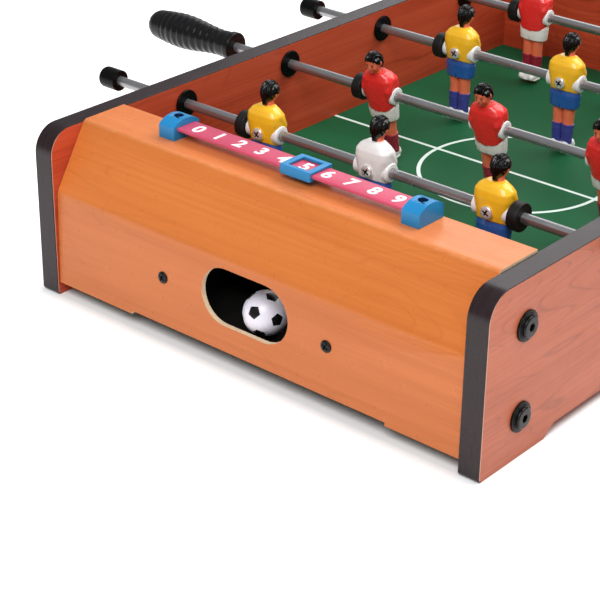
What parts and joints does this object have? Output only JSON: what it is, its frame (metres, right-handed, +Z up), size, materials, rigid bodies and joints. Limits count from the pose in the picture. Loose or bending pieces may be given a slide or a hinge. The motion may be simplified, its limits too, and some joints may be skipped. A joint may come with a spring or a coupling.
{
  "type": "tabletop foosball table",
  "caption": "Small wooden tabletop football game with sliding, spinning rods of players, a green pitch, sliding score counters and ball return holes.",
  "frame": {"origin": "middle of the footprint, on the surface that the feet stand on", "axes": "+X along the table towards the red goal, +Y across it along the rods, +Z up"},
  "size_m": [0.496, 0.5582, 0.1168],
  "materials": {
    "ball_white": "white with black pentagons",
    "black_plastic": "moulded, satin",
    "black_steel": "black oxide",
    "chrome_rod": "polished plated steel",
    "cover_wood": "printed honey woodgrain film on fibreboard, satin",
    "edge_band": "dark charcoal edge banding",
    "handle_black": "moulded grip",
    "keeper_white": "moulded and painted",
    "panel_wood": "printed woodgrain film on fibreboard, satin",
    "pitch_green": "green printed fibreboard with white lines",
    "player_red": "moulded and painted",
    "player_yellow": "moulded and painted",
    "raw_board": "raw fibreboard",
    "rubber_black": "matt rubber",
    "score_blue": "moulded, satin gloss",
    "score_pink": "moulded, glossy, white numbers",
    "tray_board": "fibreboard painted black",
    "wall_wood": "printed red-brown woodgrain film",
    "zinc_steel": "bright zinc plate"
  },
  "bodies": {
    "cabinet": {"ball_tray_far": "tray_board", "ball_tray_near": "tray_board", "barrel_nuts": "zinc_steel", "corner_bolts": "black_steel", "corner_washers": "black_plastic", "edge_band_back": "edge_band", "edge_band_front": "edge_band", "end_cover_far": "cover_wood", "end_cover_near": "cover_wood", "end_frame_far": "raw_board", "end_frame_near": "raw_board", "end_screws": "black_steel", "goal_wall_far": "wall_wood", "goal_wall_near": "wall_wood", "pitch_battens": "raw_board", "pitch_board": "pitch_green", "rod_bearings": "black_plastic", "score_bar_far": "score_pink", "score_bar_near": "score_pink", "score_caps": "score_blue", "score_screws": "zinc_steel", "side_panel_back": "panel_wood", "side_panel_front": "panel_wood"},
    "ball": {"ball": "ball_white"},
    "red_attack_bumper_pair": {"red_attack_bumpers": "rubber_black"},
    "red_attack_team_rod": {"red_attack_end_cap": "black_plastic", "red_attack_handle": "handle_black", "red_attack_player_left": "player_red", "red_attack_player_middle": "player_red", "red_attack_player_right": "player_red", "red_attack_player_screws": "zinc_steel", "red_attack_rod": "chrome_rod"},
    "red_goal_bumper_pair": {"red_goal_bumpers": "rubber_black"},
    "red_goal_team_rod": {"red_goal_end_cap": "black_plastic", "red_goal_handle": "handle_black", "red_goal_player_left": "player_red", "red_goal_player_middle": "keeper_white", "red_goal_player_right": "player_red", "red_goal_player_screws": "zinc_steel", "red_goal_rod": "chrome_rod"},
    "far_marker": {"score_marker_far": "score_blue"},
    "near_marker": {"score_marker_near": "score_blue"},
    "yellow_attack_bumper_pair": {"yellow_attack_bumpers": "rubber_black"},
    "yellow_attack_team_rod": {"yellow_attack_end_cap": "black_plastic", "yellow_attack_handle": "handle_black", "yellow_attack_player_left": "player_yellow", "yellow_attack_player_middle": "player_yellow", "yellow_attack_player_right": "player_yellow", "yellow_attack_player_screws": "zinc_steel", "yellow_attack_rod": "chrome_rod"},
    "yellow_goal_bumper_pair": {"yellow_goal_bumpers": "rubber_black"},
    "yellow_goal_team_rod": {"yellow_goal_end_cap": "black_plastic", "yellow_goal_handle": "handle_black", "yellow_goal_player_left": "player_yellow", "yellow_goal_player_middle": "keeper_white", "yellow_goal_player_right": "player_yellow", "yellow_goal_player_screws": "zinc_steel", "yellow_goal_rod": "chrome_rod"}
  },
  "joints": [
    {"name": "yellow_goal_slide", "type": "slide", "parent": "cabinet", "child": "yellow_goal_bumper_pair", "axis": [0, 1, 0], "range_m": [-0.0403, 0.0437]},
    {"name": "yellow_goal_spin", "type": "hinge", "parent": "yellow_goal_bumper_pair", "child": "yellow_goal_team_rod", "pos_m": [-0.1401, 0, 0.087], "axis": [0, 1, 0], "continuous": true},
    {"name": "red_attack_slide", "type": "slide", "parent": "cabinet", "child": "red_attack_bumper_pair", "axis": [0, 1, 0], "range_m": [-0.03, 0.054]},
    {"name": "red_attack_spin", "type": "hinge", "parent": "red_attack_bumper_pair", "child": "red_attack_team_rod", "pos_m": [-0.0467, 0, 0.087], "axis": [0, 1, 0], "continuous": true},
    {"name": "yellow_attack_slide", "type": "slide", "parent": "cabinet", "child": "yellow_attack_bumper_pair", "axis": [0, 1, 0], "range_m": [-0.0389, 0.0451]},
    {"name": "yellow_attack_spin", "type": "hinge", "parent": "yellow_attack_bumper_pair", "child": "yellow_attack_team_rod", "pos_m": [0.0467, 0, 0.087], "axis": [0, 1, 0], "continuous": true},
    {"name": "red_goal_slide", "type": "slide", "parent": "cabinet", "child": "red_goal_bumper_pair", "axis": [0, 1, 0], "range_m": [-0.0451, 0.0389]},
    {"name": "red_goal_spin", "type": "hinge", "parent": "red_goal_bumper_pair", "child": "red_goal_team_rod", "pos_m": [0.1401, 0, 0.087], "axis": [0, 1, 0], "continuous": true},
    {"name": "near_marker_slide", "type": "slide", "parent": "cabinet", "child": "near_marker", "axis": [0, 1, 0], "range_m": [-0.0599, 0.0752]},
    {"name": "far_marker_slide", "type": "slide", "parent": "cabinet", "child": "far_marker", "axis": [0, 1, 0], "range_m": [-0.0752, 0.0599]},
    {"name": "ball_roll", "type": "slide", "parent": "cabinet", "child": "ball", "axis": [0, 1, 0], "range_m": [-0.0395, 0.0425]}
  ]
}
